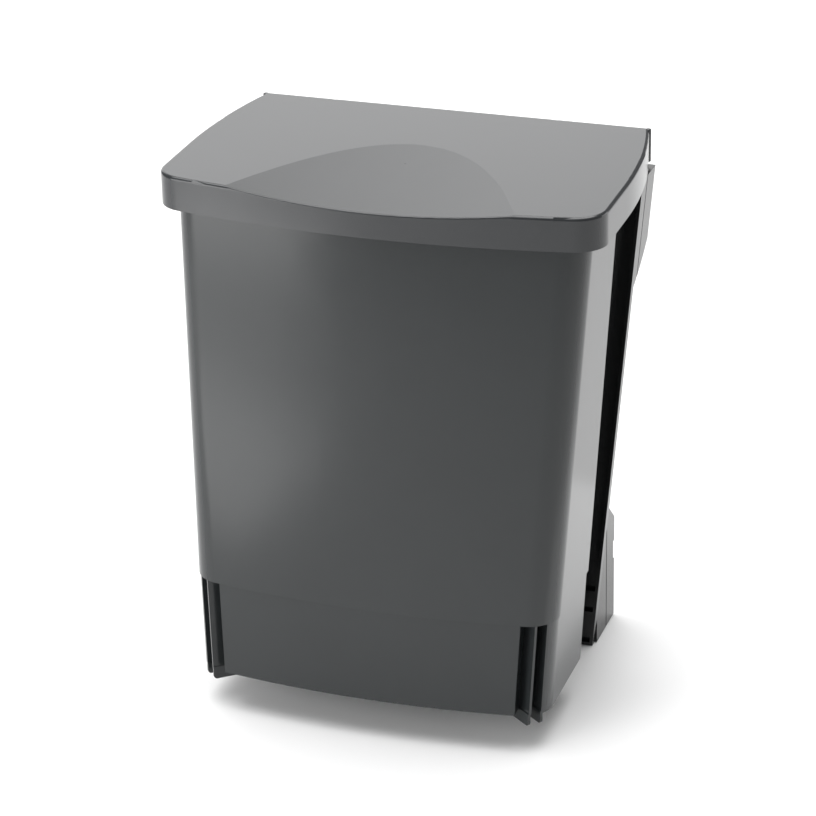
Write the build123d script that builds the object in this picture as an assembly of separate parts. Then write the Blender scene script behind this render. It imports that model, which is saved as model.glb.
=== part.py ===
"""Kitchen waste bin that hangs on the inside of a cupboard door.

A door frame (back plate, upper bracket, lower spacer) is screwed to the door.  The bucket hangs
on the frame by two rear hooks and lifts off upwards.  The lid turns on a steel rod at the rear.

Axes: +X right, +Y towards the door, +Z up.  The origin is the middle of the bounding box's base.
All sizes are millimetres.  A depth is counted forwards from the door face.
"""
import os
from math import asin, cos, degrees, radians, sin, sqrt

from build123d import *

# ---- overall -------------------------------------------------------------------------------
HEIGHT = 357.0              # underside of the lower spacer to the lid's top
DEPTH = 204.6               # door face to the foremost point of the bucket
DOOR_Y = DEPTH / 2          # plane of the door face
SKIN = 0.3                  # gap between parts that only rest on each other
PAST = 1.0                  # how far a cutter runs past what it cuts

# ---- lid -----------------------------------------------------------------------------------
LID_REAR_HALF = 131.3       # half width at the rear edge
LID_SIDE_HALF = 145.0       # half width where the sides meet the front corners
LID_SIDE_DEPTH = 104.5      # depth of that point
LID_REAR_DEPTH = 0.6        # gap between the rear edge and the door
LID_FRONT_DEPTH = 180.8     # depth of the front's apex
LID_CORNER_R = 20.9
BOW_R = 684.0               # plan radius of the fronts of lid and bucket
LID_HEIGHT = 22.0
LID_WALL = 2.5
LID_EDGE_R = 2.2
LID_BOTTOM = HEIGHT - LID_HEIGHT
LID_UNDER = HEIGHT - LID_WALL
SCOOP_HALF = 89.0           # half width of the finger scoop in the front edge
SCOOP_DROP = 5.5            # its drop at the middle
SCOOP_END_DROP = 0.9        # its drop at each end
SCOOP_RUN = 110.0           # how far back it reaches
SCOOP_EDGE_R = 1.2
NOTCHES_X = (-83.3, 69.6)   # small slots in the lid's rear edge
NOTCH_W = 3.0
NOTCH_L = 2.2
LID_RIBS_X = (-48.0, 0.0, 48.0)
LID_RIB_T, LID_RIB_H = 1.6, 3.0
LID_RIB_FROM, LID_RIB_TO = 34.0, 102.0
BEAD_R, BEAD_DEPTH = 1.9, 2.6  # upright bead down each rear corner, and its depth

# ---- lid hinge -----------------------------------------------------------------------------
AXIS_DEPTH = 9.5
AXIS_Z = 350.0
ROD_R = 2.0
ROD_HALF = 131.4
PLUG_T = 1.6                # plug that closes the lid's hole at each end of the rod
LUG_X = 76.5                # centre of each lug of the bracket
LUG_W = 9.0
LUG_R = 3.9
BUSH_R = 2.7
KNUCKLE_GAP = 0.6
KNUCKLE_W = 3.0
KNUCKLE_R = 4.2
RUNNING = 0.06              # radial clearance of the rod in the lid's holes

# ---- bucket --------------------------------------------------------------------------------
RIM_Z, STEP_Z, BASE_Z = 340.0, 89.0, 26.0
RIM_H, RIM_OUT = 4.0, 2.0
WALL, FLOOR = 2.2, 2.6
STEP_IN = 0.8               # how far the skin below the step stands back
HALF = (135.0, 122.2, 119.2)                       # half widths at rim, step and base
FRONT = (174.6, 201.4, DEPTH + STEP_IN)            # depths of the front's apex there
SHOULDER = (87.0, 107.0, 111.0)                    # depths where the wide front part ends
REAR = 60.0                 # depth of the rear wall
SHOULDER_IN = 18.0          # the rear part is this much narrower on each side
CORNER_R, REAR_R, SHOULDER_R = 21.0, 12.0, 1.5

# ---- cut-away lower front corners, with their fins ------------------------------------------
RECESS_R = 7.0              # inner wall of the recess, about the corner's centre
RECESS_ANGLE = 33.0         # where the recess starts, turned from the side to the front
RECESS_FRONT = 0.5          # how far past the corner's centre it ends on the front
RECESS_REACH = 32.0         # past the skin
FIN_ENDS = (35.5, 60.0)     # where the fins' outer edges stand on the corner
FIN_TURN = 39.0             # both fins run inwards at this angle
FIN_T = 1.8
FIN_L = 15.0                # length of a fin inside the recess
FOOT_L = 21.0               # length of its foot, below the floor
FIN_TIP_Z = 18.5
FIN_TIP_R = 2.5

# ---- door frame ----------------------------------------------------------------------------
PLATE_BACK, PLATE_FRONT = 43.0, 45.6               # depths of the plate's faces
PLATE_TOP, PLATE_BOTTOM = 334.4, 0.0
PLATE_HALF_TOP, PLATE_HALF_BOTTOM = 139.8, 108.8
PLATE_RIM_DEPTH, PLATE_RIM_T = 49.0, 2.2
CHANNEL_IN, CHANNEL_T, CHANNEL_DEPTH = 13.0, 2.0, 56.0
RUNG_Z = (24.0, 40.0)                              # short ribs between channel and rim
RIB_Z = (119.0, 153.0, 187.0, 221.0)               # ribs across the plate's back
RIB_X = (-70.0, 0.0, 70.0)
RIB_T, RIB_H = 1.8, 3.0
POST_X, POST_W, POST_DEPTH, POST_Z = 106.0, 12.0, 50.0, 351.4
PAD_T = 2.8
SHELL_T = 3.0                                      # wall of bracket and spacer
EAR_IN, EAR_TOP, EAR_FOOT = 3.8, 332.0, 248.0      # the ears stand this far inside the plate's sides
EAR_STRAIGHT = 281.0                               # below this the ears curve off the door
EAR_CURVE = (20.0, 260.0)                          # depth and height of a point on the curve
SPACER_HALF, SPACER_TOP = 110.4, 87.0
SPACER_SLOPE = (75.0, 13.0)                        # its top slopes down to the door from this depth
SPACER_NOTCH_Z, SPACER_NOTCH = (43.0, 57.0), 2.6   # shallow notch in the side walls' rear edges
GROOVE_DEPTH, GROOVE_W, GROOVE_IN = 19.0, 1.2, 0.5 # thin upright groove in each outer side

# ---- fixings -------------------------------------------------------------------------------
DOOR_HOLE_X, DOOR_HOLES_Z = 80.0, (310.0, 30.0)
DOOR_HOLE_R = 2.5
SLEEVE_R, SLEEVE_FLANGE_R, SLEEVE_FLANGE_T = 4.0, 6.0, 1.0
ACCESS_R = 6.5                                     # hole for a screwdriver in front of each
UPPER_SCREWS = ((118.0, 320.0), (112.0, 269.0))
LOWER_SCREWS = ((92.0, 80.0), (50.0, 22.0))
SCREW_R, HEAD_R, HEAD_H, SOCKET_R, SOCKET_H = 1.7, 3.4, 1.8, 1.4, 1.1
RIVET_R, RIVET_HEAD_R, RIVET_HEAD_H = 2.0, 3.4, 1.0
RAIL_RIVETS_X = (-76.0, -26.0, 26.0, 76.0)
RAIL_RIVET_Z = 303.0

# ---- bucket hanger ---------------------------------------------------------------------------
STEEL_T = 1.5
RAIL_Z, RAIL_FOOT, RAIL_HALF = 312.0, 296.0, 90.0  # top and foot of the rail, half its length
RAIL_DEPTH, RAIL_LIP_Z = 57.0, 318.0
HOOK_X, HOOK_W, HOOK_TOP, HOOK_FOOT = 55.0, 34.0, 321.0, 295.0
HOOK_DEPTH = 50.6                                  # rear face of the hook's nose
HOOK_RIVETS_Z = 303.0
BUFFER_X, BUFFER_Z, BUFFER_R, BOSS_DEPTH = 60.0, 60.0, 9.0, 53.6


def y_at(depth):
    """Y of a point a given depth in front of the door face."""
    return DOOR_Y - depth


def block(x0, x1, d0, d1, z0, z1):
    """Box between two x's, two depths and two heights."""
    return Pos((x0 + x1) / 2, y_at((d0 + d1) / 2), (z0 + z1) / 2) * Box(x1 - x0, d1 - d0, z1 - z0)


def bar_x(x0, x1, depth, z, radius):
    """Cylinder along X."""
    return Pos((x0 + x1) / 2, y_at(depth), z) * Rot(0, 90, 0) * Cylinder(radius, x1 - x0)


def bar_y(x, z, d0, d1, radius):
    """Cylinder along Y, between two depths."""
    return Pos(x, y_at((d0 + d1) / 2), z) * Rot(90, 0, 0) * Cylinder(radius, d1 - d0)


def mirrored(shape):
    """Mirror image of a shape across the middle plane."""
    return mirror(shape, Plane.YZ)


def group(shapes):
    """Separate solids of one node."""
    return Compound(children=[solid for shape in shapes for solid in shape.solids()])


def bow(x, apex):
    """Depth of a bowed front at x."""
    return apex - BOW_R + sqrt(BOW_R**2 - x**2)


# ---- lid -------------------------------------------------------------------------------------
def lid_outline(inset, z):
    """Plan outline of the lid, moved in by inset, as a face at height z."""
    rear, side = LID_REAR_HALF - inset, LID_SIDE_HALF - inset
    y_rear, y_side = y_at(LID_REAR_DEPTH + inset), y_at(LID_SIDE_DEPTH)
    apex = LID_FRONT_DEPTH - inset
    y_corner = y_at(bow(side, apex))
    with BuildSketch(Plane.XY.offset(z)) as sketch:
        with BuildLine():
            Line((-rear, y_rear), (rear, y_rear))
            for s in (1, -1):
                TangentArc((s * side, y_side), (s * rear, y_rear), tangent=(0, 1))
                Line((s * side, y_side), (s * side, y_corner))
            ThreePointArc((side, y_corner), (0, y_at(apex)), (-side, y_corner))
        make_face()
        fillet(sketch.vertices().sort_by(Axis.Y)[:2], LID_CORNER_R - inset)
    return sketch.sketch.faces()[0]


def scoop(lower):
    """Cylinder, tilted down to the front, that hollows the lid's front edge."""
    sagitta = SCOOP_DROP - SCOOP_END_DROP
    radius = (SCOOP_HALF**2 + sagitta**2) / (2 * sagitta)
    tilt = degrees(asin(SCOOP_DROP / SCOOP_RUN))
    edge = Pos(0, y_at(LID_FRONT_DEPTH), HEIGHT - SCOOP_DROP - lower)
    return edge * Rot(tilt, 0, 0) * Pos(0, 0, radius) * Rot(90, 0, 0) * Cylinder(radius, 4 * SCOOP_RUN)


def lid_cover():
    """Lid shell with its skirt and rear wall; ribs and hinge knuckles are moulded under it."""
    outer = extrude(lid_outline(0, LID_BOTTOM), LID_HEIGHT)
    outer = fillet(outer.edges().group_by(Axis.Z)[-1], LID_EDGE_R)
    outer -= scoop(0)
    front = Vertex(0, y_at(LID_FRONT_DEPTH), HEIGHT - SCOOP_DROP)
    outer = fillet(outer.edges().sort_by_distance(front)[:1], SCOOP_EDGE_R)
    inner = extrude(lid_outline(LID_WALL, LID_BOTTOM - PAST), LID_HEIGHT - LID_WALL + PAST)
    cover = outer - (inner - scoop(LID_WALL))
    for x in LID_RIBS_X:
        cover += block(x - LID_RIB_T / 2, x + LID_RIB_T / 2, LID_RIB_FROM, LID_RIB_TO,
                       LID_UNDER - LID_RIB_H, LID_UNDER + PAST)
    room = LUG_W / 2 + KNUCKLE_GAP
    for x in (-LUG_X, LUG_X):
        for x0 in (x - room - KNUCKLE_W, x + room):
            cover += bar_x(x0, x0 + KNUCKLE_W, AXIS_DEPTH, AXIS_Z, KNUCKLE_R)
            cover += block(x0, x0 + KNUCKLE_W, AXIS_DEPTH - KNUCKLE_R, AXIS_DEPTH + KNUCKLE_R,
                           AXIS_Z, LID_UNDER + PAST)
        cover -= block(x - room, x + room, LID_REAR_DEPTH - PAST, LID_REAR_DEPTH + LID_WALL,
                       LID_BOTTOM - PAST, LID_UNDER)
    bead = Pos(LID_REAR_HALF, y_at(BEAD_DEPTH), LID_BOTTOM + LID_HEIGHT / 2) * Cylinder(BEAD_R, LID_HEIGHT)
    bead = fillet(bead.edges().group_by(Axis.Z)[-1], BEAD_R / 2)
    cover += bead
    cover += mirrored(bead)
    for x in NOTCHES_X:
        cover -= block(x - NOTCH_W / 2, x + NOTCH_W / 2, LID_REAR_DEPTH - PAST,
                       LID_REAR_DEPTH + NOTCH_L, LID_UNDER, HEIGHT + PAST)
    return cover - bar_x(-LID_SIDE_HALF, LID_SIDE_HALF, AXIS_DEPTH, AXIS_Z, ROD_R + RUNNING)


# ---- bucket ------------------------------------------------------------------------------------
def at_height(values, z):
    """Value at height z, from its values at the rim, the step and the base."""
    rim, step, base = values
    if z >= STEP_Z:
        return step + (rim - step) * (z - STEP_Z) / (RIM_Z - STEP_Z)
    return base + (step - base) * (z - BASE_Z) / (STEP_Z - BASE_Z)


def bucket_outline(z, inset):
    """Plan outline of the bucket at height z, moved in by inset, as a face."""
    half, apex = at_height(HALF, z) - inset, at_height(FRONT, z) - inset
    waist, y_rear = half - SHOULDER_IN, y_at(REAR + inset)
    y_shoulder = y_at(at_height(SHOULDER, z) + inset)
    y_front = y_at(bow(half, apex))
    with BuildSketch(Plane.XY.offset(z)) as sketch:
        with BuildLine():
            Line((-waist, y_rear), (waist, y_rear))
            for s in (1, -1):
                Polyline((s * waist, y_rear), (s * waist, y_shoulder), (s * half, y_shoulder),
                         (s * half, y_front))
            ThreePointArc((half, y_front), (0, y_at(apex)), (-half, y_front))
        make_face()
        corners = sketch.vertices().sort_by(Axis.Y)
        fillet(corners[:2], CORNER_R - inset)
        rear = sketch.vertices().sort_by(Axis.Y)[-2:]
        fillet(rear, REAR_R - inset)
        shoulder = sketch.vertices().filter_by(
            lambda v: abs(abs(v.X) - half) < 0.01 and abs(v.Y - y_shoulder) < 0.01)
        fillet(shoulder, SHOULDER_R)
    return sketch.sketch.faces()[0]


def bucket_body(low, high, inset):
    """Solid between two heights that follows the bucket's outline."""
    return loft([bucket_outline(low, inset), bucket_outline(high, inset)], ruled=True)


def corner_centre(z):
    """X and Y of the right-hand front corner's centre at height z."""
    x = at_height(HALF, z) - CORNER_R
    y_bow = y_at(at_height(FRONT, z)) + BOW_R
    return x, y_bow - sqrt((BOW_R - CORNER_R)**2 - x**2)


def recess_outline(z, grow):
    """Plan outline of the right-hand corner recess at height z, made larger by grow."""
    cx, cy = corner_centre(z)
    radius, front = RECESS_R - grow, RECESS_FRONT - grow
    turn = radians(RECESS_ANGLE)
    side = (cos(turn), -sin(turn))
    shift = (grow * sin(turn), grow * cos(turn))
    inner_side = (cx + radius * side[0] + shift[0], cy + radius * side[1] + shift[1])
    outer_side = (cx + RECESS_REACH * side[0] + shift[0], cy + RECESS_REACH * side[1] + shift[1])
    outer_front = (cx + front, cy - RECESS_REACH)
    inner_front = (cx + front, cy - sqrt(radius**2 - front**2))
    with BuildSketch(Plane.XY.offset(z)) as sketch:
        with BuildLine():
            Polyline(inner_side, outer_side, outer_front, inner_front, close=True)
        make_face()
    return sketch.sketch.faces()[0]


def recess(low, high, grow):
    """Solid that cuts away the right-hand lower front corner."""
    return loft([recess_outline(low, grow), recess_outline(high, grow)], ruled=True)


def fin_section(z, end, length):
    """Thin rectangle, from a fin's outer edge inwards, at height z."""
    cx, cy = corner_centre(z)
    reach = CORNER_R - STEP_IN
    tip = (cx + reach * cos(radians(end)), cy - reach * sin(radians(end)), z)
    with BuildSketch(Plane(tip, x_dir=(-cos(radians(FIN_TURN)), sin(radians(FIN_TURN)), 0))) as sketch:
        with Locations((length / 2, 0)):
            Rectangle(length, FIN_T)
    return sketch.sketch.faces()[0]


def fin(end):
    """One fin in the recess, with the foot that runs on below the bucket's floor."""
    blade = loft([fin_section(BASE_Z, end, FIN_L), fin_section(STEP_Z, end, FIN_L)], ruled=True)
    foot = extrude(fin_section(FIN_TIP_Z, end, FOOT_L), BASE_Z + FLOOR / 2 - FIN_TIP_Z, dir=(0, 0, 1))
    cx, cy = corner_centre(FIN_TIP_Z)
    tip = Vertex(cx + CORNER_R * cos(radians(end)), cy - CORNER_R * sin(radians(end)), FIN_TIP_Z)
    toe = foot.edges().filter_by(lambda edge: abs(edge.length - FIN_T) < 0.01)
    foot = fillet(toe.sort_by_distance(tip)[:1], FIN_TIP_R)
    return blade + foot


def bucket_shell():
    """Bucket: stepped tapered shell with a rim, cut-away front corners and their fins."""
    upper = bucket_body(STEP_Z, RIM_Z, 0)
    lower = bucket_body(BASE_Z, STEP_Z, STEP_IN)
    shell = upper + lower + bucket_body(RIM_Z - RIM_H, RIM_Z, -RIM_OUT)
    notch = recess(BASE_Z - PAST, STEP_Z, 0)
    shell -= notch
    shell -= mirrored(notch)
    thick = recess(BASE_Z - PAST, STEP_Z + WALL, WALL)
    cavity = bucket_body(BASE_Z + FLOOR, STEP_Z, STEP_IN + WALL)
    cavity += bucket_body(STEP_Z, RIM_Z + PAST, WALL)
    cavity = cavity - thick - mirrored(thick)
    shell -= cavity
    for end in FIN_ENDS:
        blade = fin(end)
        shell += blade
        shell += mirrored(blade)
    return shell


# ---- door frame ------------------------------------------------------------------------------
def plate_half(z):
    """Half width of the back plate at height z."""
    share = (z - PLATE_BOTTOM) / (PLATE_TOP - PLATE_BOTTOM)
    return PLATE_HALF_BOTTOM + (PLATE_HALF_TOP - PLATE_HALF_BOTTOM) * share


def plate_slab(inset, bottom, top, d0, d1):
    """Tapered slab that follows the plate's sides, between two heights and two depths."""
    low, high = plate_half(bottom) - inset, plate_half(top) - inset
    corners = ((-low, bottom), (low, bottom), (high, top), (-high, top))
    outline = make_face(Polyline(*[(x, y_at(d0), z) for x, z in corners], close=True))
    return extrude(outline, d1 - d0, dir=(0, -1, 0))


def door_points():
    """X and Z of the four door screws."""
    return [(s * DOOR_HOLE_X, z) for z in DOOR_HOLES_Z for s in (-1, 1)]


def screw_points(places):
    """X and Z of screws given for the right-hand side, on both sides."""
    return [(s * x, z) for x, z in places for s in (-1, 1)]


def back_plate():
    """Tapered plate with side rims, guide channels, ribs and the two posts under the lid."""
    plate = plate_slab(0, PLATE_BOTTOM, PLATE_TOP, PLATE_BACK, PLATE_RIM_DEPTH)
    plate -= plate_slab(PLATE_RIM_T, PLATE_BOTTOM + PLATE_RIM_T, PLATE_TOP + PAST,
                        PLATE_FRONT, PLATE_RIM_DEPTH + PAST)
    channels = plate_slab(CHANNEL_IN, PLATE_BOTTOM, PLATE_TOP, PLATE_FRONT, CHANNEL_DEPTH)
    channels -= plate_slab(CHANNEL_IN + CHANNEL_T, PLATE_BOTTOM - PAST, PLATE_TOP + PAST,
                           PLATE_FRONT, CHANNEL_DEPTH + PAST)
    plate += channels
    for z in RUNG_Z:
        half = plate_half(z)
        rung = block(half - CHANNEL_IN, half - PLATE_RIM_T / 2, PLATE_FRONT, PLATE_RIM_DEPTH, z, z + RIB_T)
        plate += rung
        plate += mirrored(rung)
    for z in RIB_Z:
        half = plate_half(z) - RIB_H
        plate += block(-half, half, PLATE_BACK - RIB_H, PLATE_BACK, z, z + RIB_T)
    for x in RIB_X:
        plate += block(x - RIB_T / 2, x + RIB_T / 2, PLATE_BACK - RIB_H, PLATE_BACK, RIB_Z[0], RIB_Z[-1])
    for s in (-1, 1):
        plate += block(s * POST_X - POST_W / 2, s * POST_X + POST_W / 2, PLATE_BACK, POST_DEPTH,
                       PLATE_TOP - 2 * POST_W, POST_Z)
        plate += bar_y(s * BUFFER_X, BUFFER_Z, PLATE_FRONT, BOSS_DEPTH, BUFFER_R)
    for x, z in door_points():
        plate -= bar_y(x, z, PLATE_BACK - PAST, PLATE_FRONT + PAST, ACCESS_R)
    for x, z in screw_points(UPPER_SCREWS + LOWER_SCREWS):
        plate -= bar_y(x, z, PLATE_BACK - PAST, PLATE_FRONT + PAST, SCREW_R)
    for x in RAIL_RIVETS_X:
        plate -= bar_y(x, RAIL_RIVET_Z, PLATE_BACK - PAST, PLATE_FRONT + PAST, RIVET_R)
    return plate


def front_wall_holes(part, screws, hole_z):
    """Cut the screwdriver holes and screw holes in a front wall, and the seats in the rear wall."""
    for s in (-1, 1):
        x = s * DOOR_HOLE_X
        part -= bar_y(x, hole_z, PLATE_BACK - SHELL_T - PAST, PLATE_BACK + PAST, ACCESS_R)
        part -= bar_y(x, hole_z, -PAST, SHELL_T + PAST, SLEEVE_R)
    for x, z in screw_points(screws):
        part -= bar_y(x, z, PLATE_BACK - SHELL_T - PAST, PLATE_BACK + PAST, SCREW_R)
    return part


def side_grooves(inset, bottom, top):
    """Cutter for the thin groove in both outer sides, which follow the plate's taper."""
    band = (GROOVE_DEPTH, GROOVE_DEPTH + GROOVE_W)
    return plate_slab(inset - PAST, bottom, top, *band) - plate_slab(inset + GROOVE_IN, bottom, top, *band)


def upper_bracket():
    """Bracket against the door: ears, deck, rear and front walls, and the hinge lugs."""
    with BuildSketch(Plane.YZ.offset(-PLATE_HALF_TOP)) as profile:
        with BuildLine():
            Polyline((y_at(0), EAR_STRAIGHT), (y_at(0), EAR_TOP), (y_at(PLATE_BACK), EAR_TOP),
                     (y_at(PLATE_BACK), EAR_FOOT))
            ThreePointArc((y_at(PLATE_BACK), EAR_FOOT), (y_at(EAR_CURVE[0]), EAR_CURVE[1]),
                          (y_at(0), EAR_STRAIGHT))
        make_face()
    bracket = plate_slab(EAR_IN, EAR_FOOT - PAST, EAR_TOP, 0, PLATE_BACK)
    bracket &= extrude(profile.sketch, 2 * PLATE_HALF_TOP)
    inside = EAR_IN + SHELL_T
    bracket -= plate_slab(inside, EAR_FOOT - PAST, EAR_TOP - SHELL_T, SHELL_T, PLATE_BACK - SHELL_T)
    bracket -= plate_slab(inside, EAR_FOOT - PAST, EAR_STRAIGHT, -PAST, PLATE_BACK - SHELL_T)
    bracket -= side_grooves(EAR_IN, EAR_FOOT - PAST, EAR_TOP + PAST)
    for x in (-LUG_X, LUG_X):
        x0, x1 = x - LUG_W / 2, x + LUG_W / 2
        bracket += block(x0, x1, AXIS_DEPTH - LUG_R, AXIS_DEPTH + LUG_R, EAR_TOP - SHELL_T, AXIS_Z)
        bracket += bar_x(x0, x1, AXIS_DEPTH, AXIS_Z, LUG_R)
        bracket -= bar_x(x0 - PAST, x1 + PAST, AXIS_DEPTH, AXIS_Z, BUSH_R)
    bracket = front_wall_holes(bracket, UPPER_SCREWS, DOOR_HOLES_Z[0])
    for x in RAIL_RIVETS_X:
        bracket -= bar_y(x, RAIL_RIVET_Z, PLATE_BACK - SHELL_T - PAST, PLATE_BACK + PAST, RIVET_R)
    return bracket


def lower_spacer():
    """Hollow block, open at the top, that holds the plate's lower end off the door."""
    half, back = SPACER_HALF, PLATE_BACK
    slope_z, slope_depth = SPACER_SLOPE
    with BuildSketch(Plane.YZ.offset(-half)) as profile:
        with BuildLine():
            Polyline((y_at(0), 0), (y_at(0), slope_z), (y_at(slope_depth), SPACER_TOP),
                     (y_at(back), SPACER_TOP), (y_at(back), 0), close=True)
        make_face()
    spacer = extrude(profile.sketch, 2 * half)
    spacer -= block(-half + SHELL_T, half - SHELL_T, SHELL_T, back - SHELL_T, SHELL_T, SPACER_TOP + PAST)
    for x0 in (-half - PAST, half - SHELL_T):
        spacer -= block(x0, x0 + SHELL_T + PAST, -PAST, SPACER_NOTCH, *SPACER_NOTCH_Z)
    for x0 in (-half - PAST, half - GROOVE_IN):
        spacer -= block(x0, x0 + GROOVE_IN + PAST, GROOVE_DEPTH, GROOVE_DEPTH + GROOVE_W,
                        -PAST, SPACER_TOP + PAST)
    return front_wall_holes(spacer, LOWER_SCREWS, DOOR_HOLES_Z[1])


def door_sleeves(hole_z):
    """Pair of flanged steel sleeves that line the door screws' holes at one height."""
    sleeves = []
    for s in (-1, 1):
        sleeve = bar_y(s * DOOR_HOLE_X, hole_z, 0, SHELL_T, SLEEVE_R)
        sleeve += bar_y(s * DOOR_HOLE_X, hole_z, SHELL_T, SHELL_T + SLEEVE_FLANGE_T, SLEEVE_FLANGE_R)
        sleeves.append(sleeve - bar_y(s * DOOR_HOLE_X, hole_z, -PAST, 2 * SHELL_T, DOOR_HOLE_R))
    return group(sleeves)


def plate_screws(places):
    """Pan-head screws that hold the plate to the bracket or spacer."""
    screws = []
    for x, z in screw_points(places):
        screw = bar_y(x, z, PLATE_BACK - SHELL_T, PLATE_FRONT, SCREW_R)
        screw += bar_y(x, z, PLATE_FRONT, PLATE_FRONT + HEAD_H, HEAD_R)
        top = PLATE_FRONT + HEAD_H
        screws.append(screw - bar_y(x, z, top - SOCKET_H, top + PAST, SOCKET_R))
    return group(screws)


def rivets(places, z, d0, d1):
    """Rivets along Y with a head outside each of two depths."""
    made = []
    for x in places:
        rivet = bar_y(x, z, d0, d1, RIVET_R)
        rivet += bar_y(x, z, d0 - RIVET_HEAD_H, d0, RIVET_HEAD_R)
        made.append(rivet + bar_y(x, z, d1, d1 + RIVET_HEAD_H, RIVET_HEAD_R))
    return group(made)


def hanger_rail():
    """Bent steel rail, riveted to the plate, whose lip the bucket's hooks drop behind."""
    rail = block(-RAIL_HALF, RAIL_HALF, PLATE_FRONT, PLATE_FRONT + STEEL_T, RAIL_FOOT, RAIL_Z)
    rail += block(-RAIL_HALF, RAIL_HALF, PLATE_FRONT, RAIL_DEPTH, RAIL_Z - STEEL_T, RAIL_Z)
    rail += block(-RAIL_HALF, RAIL_HALF, RAIL_DEPTH - STEEL_T, RAIL_DEPTH, RAIL_Z - STEEL_T, RAIL_LIP_Z)
    for x in RAIL_RIVETS_X:
        rail -= bar_y(x, RAIL_RIVET_Z, PLATE_FRONT - PAST, PLATE_FRONT + STEEL_T + PAST, RIVET_R)
    for s in (-1, 1):
        rail -= bar_y(s * DOOR_HOLE_X, DOOR_HOLES_Z[0], PLATE_FRONT - PAST, RAIL_DEPTH + PAST, ACCESS_R)
    return rail


def bucket_hook(x):
    """Bent steel hook on the bucket's rear wall, at x."""
    x0, x1 = x - HOOK_W / 2, x + HOOK_W / 2
    hook = block(x0, x1, REAR - STEEL_T, REAR, HOOK_FOOT, HOOK_TOP)
    hook += block(x0, x1, HOOK_DEPTH, REAR, HOOK_TOP - STEEL_T, HOOK_TOP)
    hook += block(x0, x1, HOOK_DEPTH, HOOK_DEPTH + STEEL_T, RAIL_Z + SKIN, HOOK_TOP)
    for place in hook_rivets_x(x):
        hook -= bar_y(place, HOOK_RIVETS_Z, REAR - 2 * STEEL_T, REAR + PAST, RIVET_R)
    return hook


def hook_rivets_x(x):
    """X of the two rivets of the hook at x."""
    return (x - HOOK_W / 4, x + HOOK_W / 4)


def main():
    """Build every piece and write it to its own file."""
    shell = bucket_shell()
    for x in hook_rivets_x(-HOOK_X) + hook_rivets_x(HOOK_X):
        shell -= bar_y(x, HOOK_RIVETS_Z, REAR - PAST, REAR + WALL + PAST, RIVET_R)
    bush = bar_x(LUG_X - LUG_W / 2, LUG_X + LUG_W / 2, AXIS_DEPTH, AXIS_Z, BUSH_R)
    bush -= bar_x(LUG_X - LUG_W, LUG_X + LUG_W, AXIS_DEPTH, AXIS_Z, ROD_R)
    plug = bar_x(ROD_HALF, ROD_HALF + PLUG_T, AXIS_DEPTH, AXIS_Z, ROD_R)
    lid_pad = block(POST_X - POST_W / 2 + 1, POST_X + POST_W / 2 - 1, PLATE_BACK + 1, POST_DEPTH - 1,
                    POST_Z, POST_Z + PAD_T)
    buffer = bar_y(BUFFER_X, BUFFER_Z, BOSS_DEPTH, REAR - SKIN, BUFFER_R)
    hook_grip = (REAR - STEEL_T, REAR + WALL)
    nodes = {
        "lid_cover": lid_cover(),
        "hinge_rod": bar_x(-ROD_HALF, ROD_HALF, AXIS_DEPTH, AXIS_Z, ROD_R),
        "rod_plug_right": plug,
        "rod_plug_left": mirrored(plug),
        "hinge_bush_right": bush,
        "hinge_bush_left": mirrored(bush),
        "bucket_shell": shell,
        "bucket_hook_right": bucket_hook(HOOK_X),
        "bucket_hook_left": bucket_hook(-HOOK_X),
        "hook_rivets_right": rivets(hook_rivets_x(HOOK_X), HOOK_RIVETS_Z, *hook_grip),
        "hook_rivets_left": rivets(hook_rivets_x(-HOOK_X), HOOK_RIVETS_Z, *hook_grip),
        "back_plate": back_plate(),
        "upper_bracket": upper_bracket(),
        "lower_spacer": lower_spacer(),
        "hanger_rail": hanger_rail(),
        "rail_rivets": rivets(RAIL_RIVETS_X, RAIL_RIVET_Z, PLATE_BACK - SHELL_T, PLATE_FRONT + STEEL_T),
        "plate_screws_upper": plate_screws(UPPER_SCREWS),
        "plate_screws_lower": plate_screws(LOWER_SCREWS),
        "door_sleeves_upper": door_sleeves(DOOR_HOLES_Z[0]),
        "door_sleeves_lower": door_sleeves(DOOR_HOLES_Z[1]),
        "lid_pad_right": lid_pad,
        "lid_pad_left": mirrored(lid_pad),
        "bucket_buffer_right": buffer,
        "bucket_buffer_left": mirrored(buffer),
    }
    os.makedirs("parts", exist_ok=True)
    for name, shape in nodes.items():
        export_step(shape, f"parts/{name}.step")


main()
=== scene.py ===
"""Looks of a kitchen waste bin that hangs on the inside of a cupboard door.

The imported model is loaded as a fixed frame.  Each sub-assembly is a class that dresses its own
CAD nodes and models the small pieces that stand for plain ones.  Lengths are metres, in the
frame of the CAD model: +X right, +Y towards the door, +Z up.
"""
import logging
import math
from collections.abc import Callable
from dataclasses import dataclass, field
from enum import Enum

import bpy
from mathutils import Matrix, Vector


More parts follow.
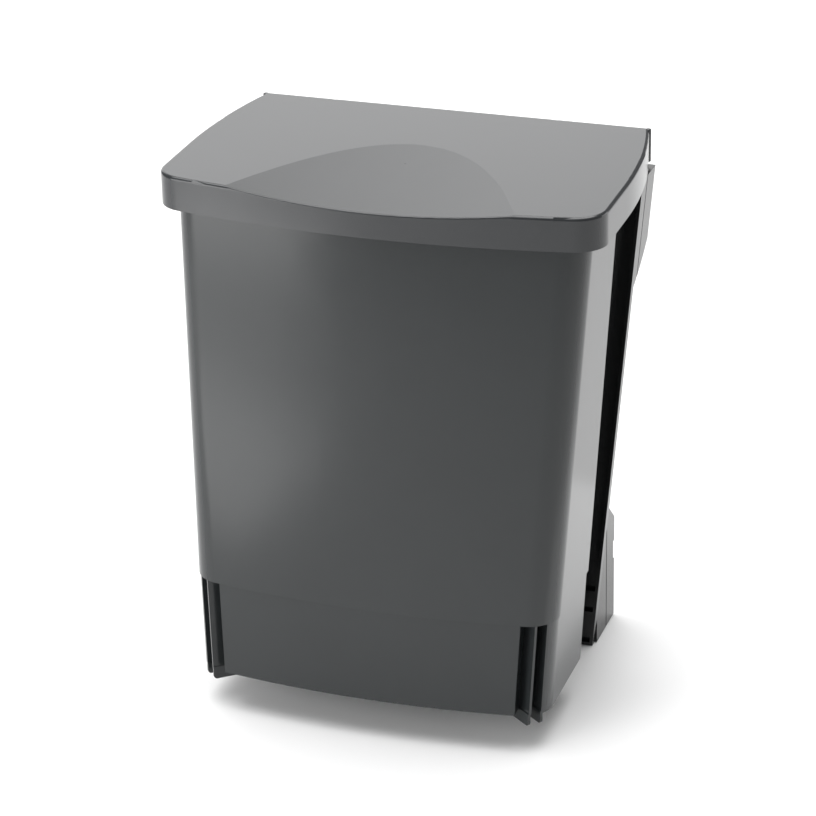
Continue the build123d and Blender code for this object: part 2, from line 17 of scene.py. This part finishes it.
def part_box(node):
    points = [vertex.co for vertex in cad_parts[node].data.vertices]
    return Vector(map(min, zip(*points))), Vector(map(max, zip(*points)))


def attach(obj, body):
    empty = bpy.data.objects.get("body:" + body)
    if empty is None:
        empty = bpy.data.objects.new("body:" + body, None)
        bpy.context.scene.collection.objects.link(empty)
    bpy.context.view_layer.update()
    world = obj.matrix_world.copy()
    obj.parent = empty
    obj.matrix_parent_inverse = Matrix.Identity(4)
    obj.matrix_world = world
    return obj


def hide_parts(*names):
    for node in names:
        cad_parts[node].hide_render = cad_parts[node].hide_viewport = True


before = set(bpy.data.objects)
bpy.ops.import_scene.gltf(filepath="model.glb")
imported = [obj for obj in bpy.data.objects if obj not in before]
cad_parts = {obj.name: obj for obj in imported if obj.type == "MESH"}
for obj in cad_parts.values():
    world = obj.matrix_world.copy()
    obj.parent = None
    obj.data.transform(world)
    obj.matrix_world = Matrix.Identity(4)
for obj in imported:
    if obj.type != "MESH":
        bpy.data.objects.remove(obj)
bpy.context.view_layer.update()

MM = 0.001
TINY = 0.01 * MM                # two places nearer than this are the same
END = 0.49                      # a middle past this share of a blank's length lies on its end
FASTENER_WIDTH = 7.5 * MM       # a screw or rivet fits in this, and its neighbour stands outside
CREASE_DEGREES = 35             # plastic edges sharper than this are rounded, modelled ones stay crisp
SPLIT_DEGREES = 30              # edges of the bare CAD nodes sharper than this stay crisp
WELD = 0.002 * MM               # joins the loose triangles of a CAD node
log = logging.getLogger("waste_bin")


# ---- small helpers ---------------------------------------------------------------------------
def linear(code: str) -> tuple[float, float, float, float]:
    """Turn an sRGB hex code into a linear colour.

    Args:
        code: Six hex digits after a hash, such as "#3c4043".

    Returns:
        Red, green, blue and an alpha of one.
    """
    def channel(value: float) -> float:
        """Linear value of one sRGB channel."""
        return value / 12.92 if value <= 0.04045 else ((value + 0.055) / 1.055) ** 2.4

    return (*(channel(int(code[i:i + 2], 16) / 255) for i in (1, 3, 5)), 1.0)


def add_node(tree: bpy.types.NodeTree, kind: str, settings: dict | None = None,
             links: dict | None = None) -> bpy.types.Node:
    """Add one node with its settings, socket values and links.

    Args:
        tree: Node tree that gets the node.
        kind: Blender's name of the node type.
        settings: Properties by name, and socket values by socket name or number.
        links: Output socket that feeds each input, by the input's name or number.

    Returns:
        The new node.
    """
    node = tree.nodes.new(kind)
    for name, value in (settings or {}).items():
        if isinstance(name, str) and hasattr(node, name):
            setattr(node, name, value)
        else:
            node.inputs[name].default_value = value
    for name, output in (links or {}).items():
        tree.links.new(output, node.inputs[name])
    return node


def deselect() -> None:
    """Leave edit mode and deselect every object."""
    if bpy.context.object and bpy.context.object.mode != "OBJECT":
        bpy.ops.object.mode_set(mode="OBJECT")
    bpy.ops.object.select_all(action="DESELECT")


def take(*pieces: bpy.types.Object) -> None:
    """Select only these objects and make the first one active."""
    deselect()
    for piece in pieces:
        piece.select_set(True)
    bpy.context.view_layer.objects.active = pieces[0]


def pick(kind: str, test: Callable[[Vector], bool]) -> None:
    """Select, in edit mode, the faces or edges whose middle passes a test.

    Args:
        kind: "FACE" or "EDGE".
        test: Says of a middle, in the object's own coordinates, whether it counts.
    """
    bpy.ops.mesh.select_mode(type=kind)
    bpy.ops.mesh.select_all(action="DESELECT")
    bpy.ops.object.mode_set(mode="OBJECT")
    mesh = bpy.context.object.data
    if kind == "FACE":
        for face in mesh.polygons:
            face.select = test(face.center)
    else:
        for edge in mesh.edges:
            ends = [mesh.vertices[number].co for number in edge.vertices]
            edge.select = test((ends[0] + ends[1]) / 2)
    bpy.ops.object.mode_set(mode="EDIT")


def start(size: tuple[float, float, float], sides: int = 0, across: float = 1.0) -> bpy.types.Object:
    """Add a box or a round blank at the origin, lying along Y, and enter edit mode.

    Args:
        size: Extents along X, Y and Z.
        sides: Number of sides of a round blank; a box if zero.
        across: Width of its face at +Y, as a share of that at -Y.

    Returns:
        The blank.
    """
    deselect()
    if sides:
        bpy.ops.mesh.primitive_cylinder_add(vertices=sides, radius=0.5, depth=1.0,
                                            rotation=(math.pi / 2, 0, 0))
    else:
        bpy.ops.mesh.primitive_cube_add(size=1.0)
    blank = bpy.context.object
    bpy.ops.object.transform_apply(rotation=True)
    blank.scale = size
    bpy.ops.object.transform_apply(scale=True)
    bpy.ops.object.mode_set(mode="EDIT")
    if across != 1.0:
        pick("FACE", lambda middle: middle.y > END * size[1])
        bpy.ops.transform.resize(value=(across, 1, across))
    return blank


def push(by: float, widen: float = 1.0) -> None:
    """Extrude the selected face along Y, and scale its new end in X and Z."""
    bpy.ops.mesh.extrude_region_move(TRANSFORM_OT_translate={"value": (0, by, 0)})
    bpy.ops.transform.resize(value=(widen, 1, widen))


def close_up(piece: bpy.types.Object) -> bpy.types.Object:
    """Merge a piece's doubles, turn its faces outwards and leave edit mode."""
    take(piece)
    bpy.ops.object.mode_set(mode="EDIT")
    bpy.ops.mesh.select_all(action="SELECT")
    bpy.ops.mesh.remove_doubles(threshold=TINY / 10)
    bpy.ops.mesh.normals_make_consistent(inside=False)
    bpy.ops.object.mode_set(mode="OBJECT")
    return piece


def middles(node: str, width: float) -> list[Vector]:
    """Middle of each separate solid of a CAD node.

    Args:
        node: Name of the CAD node.
        width: More than a solid's own width in X and Z, and less than the gap to the next.

    Returns:
        The middles, in the order in which the mesh holds the solids.
    """
    groups: list[list[Vector]] = []
    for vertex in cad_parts[node].data.vertices:
        near = [group for group in groups if (group[0] - vertex.co).xz.length < width]
        if near:
            near[0].append(vertex.co)
        else:
            groups.append([vertex.co])
    return [Vector((min(p[axis] for p in group) + max(p[axis] for p in group)) / 2 for axis in range(3))
            for group in groups]


def stand_in(model: bpy.types.Object, node: str, spots: list[Vector], finish: "Finish",
             body: str) -> None:
    """Copy a model to every spot, and let the copies stand for a CAD node.

    Args:
        model: Finished model at the origin; it is left as it is.
        node: CAD node that the copies replace.
        spots: Where the copies go.
        finish: Finish that they get.
        body: Body that they ride on.
    """
    copies = []
    for spot in spots:
        take(model)
        bpy.ops.object.duplicate(linked=False)
        copies.append(bpy.context.object)
        bpy.ops.transform.translate(value=spot)
    take(*copies)
    if len(copies) > 1:
        bpy.ops.object.join()
    piece = bpy.context.object
    bpy.ops.object.transform_apply(location=True, rotation=True, scale=True)
    bpy.ops.object.shade_smooth_by_angle(angle=math.radians(CREASE_DEGREES))
    piece.name = f"{node}_detail"
    piece.data.materials.clear()
    piece.data.materials.append(finish.material())
    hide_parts(node)
    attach(piece, body)
    log.info("%s stands in for %s, %d copies", piece.name, node, len(copies))


def discard(piece: bpy.types.Object) -> None:
    """Delete a model or cutter that is no longer needed."""
    bpy.data.meshes.remove(piece.data)


# ---- finishes ----------------------------------------------------------------------------------
@dataclass(frozen=True)
class Finish:
    """What every finish has: its name, colour and gloss.

    Attributes:
        name: Plain name of the material and of how it was made.
        colour: sRGB hex code of the surface.
        roughness: Roughness of the bare surface.
        slot: Material slot of the record that it stands for; not used by the script.
    """

    name: str
    colour: str
    roughness: float
    slot: str

    def shade(self, tree: bpy.types.NodeTree, place: bpy.types.NodeSocket,
              shader: bpy.types.Node) -> None:
        """Add this finish's patterns to the shader; a plain finish has none."""

    def material(self) -> bpy.types.Material:
        """Make the material once and give it again on later calls."""
        known = bpy.data.materials.get(self.name)
        if known:
            return known
        made = bpy.data.materials.new(self.name)
        made.use_nodes = True
        tree = made.node_tree
        shader = tree.nodes["Principled BSDF"]
        shader.inputs["Base Color"].default_value = linear(self.colour)
        shader.inputs["Roughness"].default_value = self.roughness
        place = add_node(tree, "ShaderNodeTexCoord").outputs["Object"]
        self.shade(tree, place, shader)
        return made


@dataclass(frozen=True)
class MouldedPolypropylene(Finish):
    """Injection-moulded polypropylene with a semi-gloss skin.

    The mould's polish gives the eye a soft gloss; the skin is faintly wavy where the melt
    flowed, and slightly paler or darker in broad clouds.
    """

    grain_mm: float = 0.9           # real grain is about 0.2 mm; drawn coarser, so that it shows
    grain_depth_mm: float = 0.004
    wave_mm: float = 26.0           # from one flow wave to the next
    wave_depth_mm: float = 0.02
    cloud: float = 0.06             # how much paler or darker a cloud is, as a share
    gloss_spread: float = 0.12      # how much duller or glossier the grain is, as a share
    ior: float = 1.46

    def shade(self, tree: bpy.types.NodeTree, place: bpy.types.NodeSocket,
              shader: bpy.types.Node) -> None:
        """Add clouds to the colour, and grain and flow waves to the gloss and the normal."""
        shader.inputs["IOR"].default_value = self.ior
        clouds = add_node(tree, "ShaderNodeTexNoise",
                          {"Scale": 1 / (4 * self.wave_mm * MM), "Detail": 3.0}, {"Vector": place})
        base = linear(self.colour)
        ramp = add_node(tree, "ShaderNodeValToRGB", links={"Fac": clouds.outputs["Fac"]})
        for stop, level in zip(ramp.color_ramp.elements, (1 - self.cloud, 1 + self.cloud)):
            stop.color = (*(channel * level for channel in base[:3]), 1.0)
        ramp.color_ramp.elements[0].position = 0.3
        ramp.color_ramp.elements[1].position = 0.7
        tree.links.new(ramp.outputs["Color"], shader.inputs["Base Color"])
        grain = add_node(tree, "ShaderNodeTexNoise",
                         {"Scale": 1 / (self.grain_mm * MM), "Detail": 2.0}, {"Vector": place})
        gloss = add_node(tree, "ShaderNodeMapRange",
                         {"To Min": self.roughness * (1 - self.gloss_spread),
                          "To Max": self.roughness * (1 + self.gloss_spread)},
                         {"Value": grain.outputs["Fac"]})
        tree.links.new(gloss.outputs["Result"], shader.inputs["Roughness"])
        wave = add_node(tree, "ShaderNodeTexNoise",
                        {"Scale": 1 / (self.wave_mm * MM), "Detail": 1.0}, {"Vector": place})
        broad = add_node(tree, "ShaderNodeBump",
                         {"Strength": 1.0, "Distance": self.wave_depth_mm * MM},
                         {"Height": wave.outputs["Fac"]})
        fine = add_node(tree, "ShaderNodeBump",
                        {"Strength": 1.0, "Distance": self.grain_depth_mm * MM},
                        {"Height": grain.outputs["Fac"], "Normal": broad.outputs["Normal"]})
        tree.links.new(fine.outputs["Normal"], shader.inputs["Normal"])


@dataclass(frozen=True)
class ZincPlatedSteel(Finish):
    """Cold-rolled steel with bright zinc plating; rolling leaves fine lines along the sheet."""

    line_mm: float = 0.25           # real lines are finer; drawn coarser, so that they show
    stretch: float = 20.0           # a line is this much longer than it is wide

    def shade(self, tree: bpy.types.NodeTree, place: bpy.types.NodeSocket,
              shader: bpy.types.Node) -> None:
        """Make it metallic, with fine rolling lines in the gloss."""
        shader.inputs["Metallic"].default_value = 1.0
        across = 1 / (self.line_mm * MM)
        drawn_out = add_node(tree, "ShaderNodeMapping",
                             {"Scale": (across / self.stretch, across, across)}, {"Vector": place})
        lines = add_node(tree, "ShaderNodeTexNoise", {"Scale": 1.0, "Detail": 2.0},
                         {"Vector": drawn_out.outputs["Vector"]})
        gloss = add_node(tree, "ShaderNodeMapRange",
                         {"To Min": self.roughness * 0.7, "To Max": self.roughness * 1.4},
                         {"Value": lines.outputs["Fac"]})
        tree.links.new(gloss.outputs["Result"], shader.inputs["Roughness"])


@dataclass(frozen=True)
class MouldedRubber(Finish):
    """Compression-moulded rubber: dull, with a fine dusty grain."""

    grain_mm: float = 0.5
    grain_depth_mm: float = 0.02

    def shade(self, tree: bpy.types.NodeTree, place: bpy.types.NodeSocket,
              shader: bpy.types.Node) -> None:
        """Add the fine grain as a bump."""
        grain = add_node(tree, "ShaderNodeTexNoise",
                         {"Scale": 1 / (self.grain_mm * MM), "Detail": 3.0}, {"Vector": place})
        bump = add_node(tree, "ShaderNodeBump", {"Strength": 0.6, "Distance": self.grain_depth_mm * MM},
                        {"Height": grain.outputs["Fac"]})
        tree.links.new(bump.outputs["Normal"], shader.inputs["Normal"])


@dataclass(frozen=True)
class TurnedNylon(Finish):
    """Turned nylon: waxy and milky, with rings that the tool left round the axis along X."""

    ring_mm: float = 0.4
    ring_depth_mm: float = 0.01
    milkiness: float = 0.3

    def shade(self, tree: bpy.types.NodeTree, place: bpy.types.NodeSocket,
              shader: bpy.types.Node) -> None:
        """Add light under the surface, and the tool's rings as a bump."""
        shader.inputs["Subsurface Weight"].default_value = self.milkiness
        shader.inputs["Subsurface Radius"].default_value = (MM, MM, 0.8 * MM)
        rings = add_node(tree, "ShaderNodeTexWave",
                         {"bands_direction": "X", "Scale": 1 / (2 * math.pi * self.ring_mm * MM)},
                         {"Vector": place})
        bump = add_node(tree, "ShaderNodeBump", {"Distance": self.ring_depth_mm * MM},
                        {"Height": rings.outputs["Fac"]})
        tree.links.new(bump.outputs["Normal"], shader.inputs["Normal"])


class Finishes(Enum):
    """The bin's finishes."""

    # Semi-gloss top that mirrors the room softly, a little glossier than the bucket.
    LID = MouldedPolypropylene("moulded_polypropylene_lid", "#26282a", 0.2, "lid_plastic", ior=1.52)
    # The same plastic, a touch greener; its deep sides show long soft highlights.
    BUCKET = MouldedPolypropylene("moulded_polypropylene_bucket", "#272a2b", 0.2, "bucket_plastic")
    # Structural moulding behind the bucket, a little duller; its near-black colour is painted shade for
    # the shadow it sits in behind the bucket.
    FRAME = MouldedPolypropylene("moulded_polypropylene_frame_painted_shade", "#131414", 0.24, "frame_plastic")
    # Cool bright metal with fine lines, against the dark plastic.
    STEEL = ZincPlatedSteel("zinc_plated_steel", "#b9bcc0", 0.3, "zinc_steel")
    # Nearly black and dull, so that pads and buffers read as soft.
    RUBBER = MouldedRubber("moulded_rubber", "#1c1c1d", 0.75, "rubber")
    # Off-white bushes, the only pale thing in the hinge.
    NYLON = TurnedNylon("turned_natural_nylon", "#dcdad0", 0.4, "nylon")


def dress(node: str, finish: Finish, edge_mm: float = 0.0, flat_degrees: float = 0.2) -> None:
    """Give a CAD node its finish, soft edges and smooth round faces.

    Args:
        node: Name of the CAD node.
        finish: Finish that it gets.
        edge_mm: Radius of its moulded edges; none if zero.
        flat_degrees: Triangles that meet at less than this are joined to one flat face.
    """
    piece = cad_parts[node]
    piece.data.materials.clear()
    piece.data.materials.append(finish.material())
    weld = piece.modifiers.new("join_triangles", "WELD")
    weld.merge_threshold = WELD
    if edge_mm:
        flat = piece.modifiers.new("join_flats", "DECIMATE")
        flat.decimate_type = "DISSOLVE"
        flat.angle_limit = math.radians(flat_degrees)
        edge = piece.modifiers.new("moulded_edges", "BEVEL")
        edge.width = edge_mm * MM
        edge.segments = 2
        edge.limit_method = "ANGLE"
        edge.angle_limit = math.radians(CREASE_DEGREES)
        edge.miter_outer = "MITER_ARC"
    else:
        split = piece.modifiers.new("keep_creases", "EDGE_SPLIT")
        split.split_angle = math.radians(SPLIT_DEGREES)
    normals = piece.modifiers.new("flat_faces_first", "WEIGHTED_NORMAL")
    normals.weight = 100
    normals.keep_sharp = True
    take(piece)
    bpy.ops.object.shade_smooth()
    log.info("%s dressed in %s", node, finish.name)


# ---- small pieces that stand for plain CAD solids ----------------------------------------------
@dataclass(frozen=True)
class PanHeadScrew:
    """Thread-forming screw with a rounded pan head and a cross recess, head towards -Y."""

    head: float = 6.8 * MM
    head_height: float = 1.8 * MM
    head_round: float = 0.8 * MM
    shank: float = 3.3 * MM
    core: float = 0.8           # core of the thread, as a share of its crest
    turns: int = 4
    recess: float = 3.8 * MM
    blade: float = 0.9 * MM
    recess_depth: float = 1.2 * MM

    def model(self, length: float) -> bpy.types.Object:
        """Model one screw of a given overall length, with its middle at the origin."""
        screw = start((self.head, self.head_height, self.head), sides=32)
        pick("EDGE", lambda middle: middle.y < -END * self.head_height)
        bpy.ops.mesh.bevel(offset=self.head_round, segments=4, affect="EDGES")
        pick("FACE", lambda middle: middle.y > END * self.head_height)
        bpy.ops.mesh.inset(thickness=(self.head - self.shank) / 2)
        step = (length - self.head_height) / (2 * self.turns + 1)
        push(step)
        for _ in range(self.turns):
            push(step, self.core)
            push(step, 1 / self.core)
        close_up(screw)
        for turn in (0.0, 90.0):
            self.cut(screw, turn)
        screw.location.y = (self.head_height - length) / 2
        bpy.ops.object.transform_apply(location=True)
        return screw

    def cut(self, screw: bpy.types.Object, turn: float) -> None:
        """Sink one tapered slot of the cross into the head, turned by some degrees."""
        cutter = start((self.recess, 2 * self.recess_depth, self.blade), across=0.45)
        bpy.ops.object.mode_set(mode="OBJECT")
        cutter.rotation_euler.y = math.radians(turn)
        cutter.location.y = -self.head_height / 2
        take(screw)
        sink = screw.modifiers.new("cross_recess", "BOOLEAN")
        sink.object = cutter
        sink.solver = "EXACT"
        bpy.ops.object.modifier_apply(modifier=sink.name)
        discard(cutter)


@dataclass(frozen=True)
class DomedRivet:
    """Steel rivet along Y with a domed head at each end."""

    head: float = 6.8 * MM
    head_height: float = 1.0 * MM
    dome: float = 0.85 * MM
    shank: float = 4.0 * MM

    def model(self, length: float) -> bpy.types.Object:
        """Model one rivet of a given overall length, with its middle at the origin."""
        rivet = start((self.head, self.head_height, self.head), sides=32)
        pick("FACE", lambda middle: middle.y > END * self.head_height)
        bpy.ops.mesh.inset(thickness=(self.head - self.shank) / 2)
        push(length - 2 * self.head_height)
        push(0, self.head / self.shank)
        push(self.head_height)
        ends = (-0.5 * self.head_height, length - 0.5 * self.head_height)
        pick("EDGE", lambda middle: min(abs(middle.y - end) for end in ends) < TINY)
        bpy.ops.mesh.bevel(offset=self.dome, segments=5, affect="EDGES")
        close_up(rivet)
        rivet.location.y = (self.head_height - length) / 2
        bpy.ops.object.transform_apply(location=True)
        return rivet


@dataclass(frozen=True)
class RubberBuffer:
    """Round rubber buffer along Y, its face towards -Y with a moulded ring."""

    lip: float = 1.8 * MM
    groove: float = 1.6 * MM
    groove_depth: float = 0.9 * MM
    edge: float = 0.35 * MM

    def model(self, size: Vector) -> bpy.types.Object:
        """Model one buffer of a given size, with its middle at the origin."""
        buffer = start(tuple(size), sides=48)
        front = -0.5 * size.y
        pick("FACE", lambda middle: middle.y < 2 * END * front)
        bpy.ops.mesh.inset(thickness=self.lip)
        push(self.groove_depth)
        bpy.ops.mesh.inset(thickness=self.groove)
        push(-self.groove_depth)
        pick("EDGE", lambda middle: abs(middle.y - front) < TINY)
        bpy.ops.mesh.bevel(offset=self.edge, segments=3, affect="EDGES")
        return close_up(buffer)


@dataclass(frozen=True)
class RubberPad:
    """Rubber pad with rounded corners and ribs across its top, which carries the closed lid."""

    corner: float = 1.2 * MM
    rib: float = 0.8 * MM
    rib_height: float = 0.5 * MM

    def model(self, size: Vector) -> bpy.types.Object:
        """Model one pad of a given size, with its middle at the origin."""
        pad = start(tuple(size))
        bpy.ops.transform.translate(value=(0, 0, -self.rib_height / 2))
        bpy.ops.transform.resize(value=(1, 1, 1 - self.rib_height / size.z),
                                 center_override=(0, 0, -self.rib_height / 2))
        pick("EDGE", lambda middle: abs(middle.x) > END * size.x and abs(middle.y) > END * size.y)
        bpy.ops.mesh.bevel(offset=self.corner, segments=5, affect="EDGES")
        top = size.z / 2 - self.rib_height
        count = int((size.x - 2 * self.corner) / (2 * self.rib))
        for number in range(-count, count + 1):
            bpy.ops.mesh.select_all(action="SELECT")
            bpy.ops.mesh.bisect(plane_co=((number + 0.5) * self.rib, 0, 0), plane_no=(1, 0, 0))
        pick("FACE", lambda middle: middle.z > top - TINY
             and abs(middle.x) < (count + 0.4) * self.rib
             and round(middle.x / self.rib) % 2 == 0)
        bpy.ops.mesh.extrude_region_move(TRANSFORM_OT_translate={"value": (0, 0, self.rib_height)})
        return close_up(pad)


# ---- the bin's sub-assemblies ----------------------------------------------------------------
@dataclass
class Lid:
    """Hinged lid.

    Attributes:
        finish: Its plastic.
        edge_mm: Radius of its moulded edges.
        flat_degrees: Joins the thin slivers beside the scoop to the flat top.
    """

    finish: Finish = Finishes.LID.value
    edge_mm: float = 0.4
    flat_degrees: float = 0.6

    def build(self) -> None:
        """Dress the lid."""
        dress("lid_cover", self.finish, self.edge_mm, self.flat_degrees)


@dataclass
class Bucket:
    """Lift-off bucket with its steel hooks."""

    finish: Finish = Finishes.BUCKET.value
    hooks: Finish = Finishes.STEEL.value
    edge_mm: float = 0.5

    def build(self) -> None:
        """Dress the bucket, its hooks and their rivets."""
        dress("bucket_shell", self.finish, self.edge_mm)
        for side in ("left", "right"):
            dress(f"bucket_hook_{side}", self.hooks)
            self.rivet(f"hook_rivets_{side}")

    def rivet(self, node: str) -> None:
        """Model the rivets of one hook."""
        low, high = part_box(node)
        model = DomedRivet().model(high.y - low.y)
        stand_in(model, node, middles(node, FASTENER_WIDTH), self.hooks, "bucket")
        discard(model)


@dataclass
class DoorFrame:
    """Back plate, bracket and spacer, with the hinge and every fixing."""

    # its colour is the bucket's plastic darkened as painted shade for the shadow behind the bucket
    finish: Finish = Finishes.FRAME.value
    steel: Finish = Finishes.STEEL.value
    rubber: Finish = Finishes.RUBBER.value
    nylon: Finish = Finishes.NYLON.value
    edge_mm: float = 0.4

    def build(self) -> None:
        """Dress the frame's pieces, and model its fasteners, pads and buffers."""
        for node in ("back_plate", "upper_bracket", "lower_spacer", "rod_plug_left", "rod_plug_right"):
            dress(node, self.finish, self.edge_mm)
        for node in ("hinge_rod", "hanger_rail", "door_sleeves_upper", "door_sleeves_lower"):
            dress(node, self.steel)
        for side in ("left", "right"):
            dress(f"hinge_bush_{side}", self.nylon)
        self.fit(("rail_rivets",), lambda size: DomedRivet().model(size.y), self.steel)
        self.fit(("plate_screws_upper", "plate_screws_lower"),
                 lambda size: PanHeadScrew().model(size.y), self.steel)
        self.fit(("lid_pad_left", "lid_pad_right"), RubberPad().model, self.rubber)
        self.fit(("bucket_buffer_left", "bucket_buffer_right"), RubberBuffer().model, self.rubber)

    def fit(self, nodes: tuple[str, ...], make: Callable[[Vector], bpy.types.Object],
            finish: Finish) -> None:
        """Model one kind of small piece once and fit it in place of its CAD nodes.

        Args:
            nodes: CAD nodes that hold only such pieces.
            make: Models one piece, given the size of the first node.
            finish: Finish that the pieces get.
        """
        low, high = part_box(nodes[0])
        model = make(high - low)
        for node in nodes:
            stand_in(model, node, middles(node, self.solid_width(node)), finish, "door_frame")
        discard(model)

    @staticmethod
    def solid_width(node: str) -> float:
        """Width in which one solid of a node fits; a single solid fills the node."""
        low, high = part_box(node)
        several = node.startswith(("rail_rivets", "plate_screws"))
        return FASTENER_WIDTH if several else 2 * (high - low).length


# ---- studio --------------------------------------------------------------------------------------
@dataclass(frozen=True)
class Softbox:
    """One rectangular studio light.

    Attributes:
        name: Name that says where it stands.
        place: Where it stands.
        aim: Point that it faces.
        size: Width and height.
        power: Watts.
    """

    name: str
    place: tuple[float, float, float]
    aim: tuple[float, float, float]
    size: tuple[float, float]
    power: float

    def build(self) -> None:
        """Set up the light."""
        bpy.ops.object.light_add(type="AREA", location=self.place)
        lamp = bpy.context.object
        lamp.name = self.name
        lamp.data.shape = "RECTANGLE"
        lamp.data.size, lamp.data.size_y = self.size
        lamp.data.energy = self.power
        lamp.visible_camera = False
        towards = Vector(self.aim) - Vector(self.place)
        lamp.rotation_euler = towards.to_track_quat("-Z", "Y").to_euler()


@dataclass
class Studio:
    """Camera, pale floor and soft light.

    Attributes:
        camera_place: Where the camera stands.
        yaw: Degrees that it is turned left from looking along +Y.
        pitch: Degrees that it looks down.
        roll: Degrees that it is rolled.
        lens_mm: Focal length on a sensor 36 mm wide.
        floor_side: Side of the square floor.
        floor_colour: sRGB hex code of the floor.
        floor_drop: How far the floor lies below the model's base.
        sky: Strength of the even light from all round.
        boxes: The lights.
    """

    camera_place: tuple[float, float, float] = (0.6196, -1.7978, 1.0577)
    yaw: float = 19.055
    pitch: float = 24.607
    roll: float = -1.169
    lens_mm: float = 142.1
    floor_side: float = 12.0
    floor_colour: str = "#f4f4f4"
    floor_drop: float = 0.5 * MM
    sky: float = 0.3
    boxes: tuple[Softbox, ...] = field(default_factory=lambda: (
        Softbox("back_softbox", (-1.8, 2.9, 1.45), (0, 0, 0.3), (3.0, 2.3), 34),
        Softbox("top_softbox", (-0.2, 0.3, 2.6), (0, 0.1, 0), (3.0, 2.6), 110),
        Softbox("floor_card_left", (-0.52, -0.6, 0.01), (-0.52, -0.6, 1), (0.42, 0.4), 1.2),
        Softbox("floor_card_right", (0.3, 0.06, 0.01), (0.3, 0.06, 1), (0.32, 0.4), 0.15),
        Softbox("low_left_softbox", (-0.95, -1.0, 0.32), (0, 0, 0.3), (0.9, 0.5), 7),
        Softbox("front_softbox", (-1.3, -1.9, 1.1), (0, 0, 0.2), (1.2, 1.2), 12),
        Softbox("right_softbox", (2.0, 1.6, 0.6), (0, 0, 0.05), (1.6, 1.0), 11),
    ))

    def build(self) -> None:
        """Set up camera, floor, sky and lights."""
        bpy.ops.object.camera_add()
        camera = bpy.context.object
        camera.data.lens = self.lens_mm
        camera.data.sensor_width = 36.0
        camera.data.clip_end = 50.0
        turn = (Matrix.Rotation(math.radians(self.yaw), 4, "Z")
                @ Matrix.Rotation(math.radians(90 - self.pitch), 4, "X")
                @ Matrix.Rotation(math.radians(self.roll), 4, "Z"))
        camera.matrix_world = Matrix.Translation(self.camera_place) @ turn
        bpy.context.scene.camera = camera
        bpy.ops.mesh.primitive_plane_add(size=self.floor_side, location=(0, 0, -self.floor_drop))
        floor = bpy.context.object
        floor.name = "floor"
        paper = Finish("paper_floor", self.floor_colour, 0.9, "")
        floor.data.materials.append(paper.material())
        world = bpy.data.worlds.new("soft_sky")
        bpy.context.scene.world = world
        world.use_nodes = True
        sky = world.node_tree.nodes["Background"]
        sky.inputs["Color"].default_value = (1.0, 1.0, 1.0, 1.0)
        sky.inputs["Strength"].default_value = self.sky
        for box in self.boxes:
            box.build()
        bpy.context.scene.view_settings.view_transform = "Standard"


def main() -> None:
    """Build the studio and the bin."""
    logging.basicConfig(level=logging.INFO)
    Studio().build()
    for assembly in (DoorFrame(), Bucket(), Lid()):
        assembly.build()
        log.info("%s is done", type(assembly).__name__)


if __name__ == "__main__":
    main()
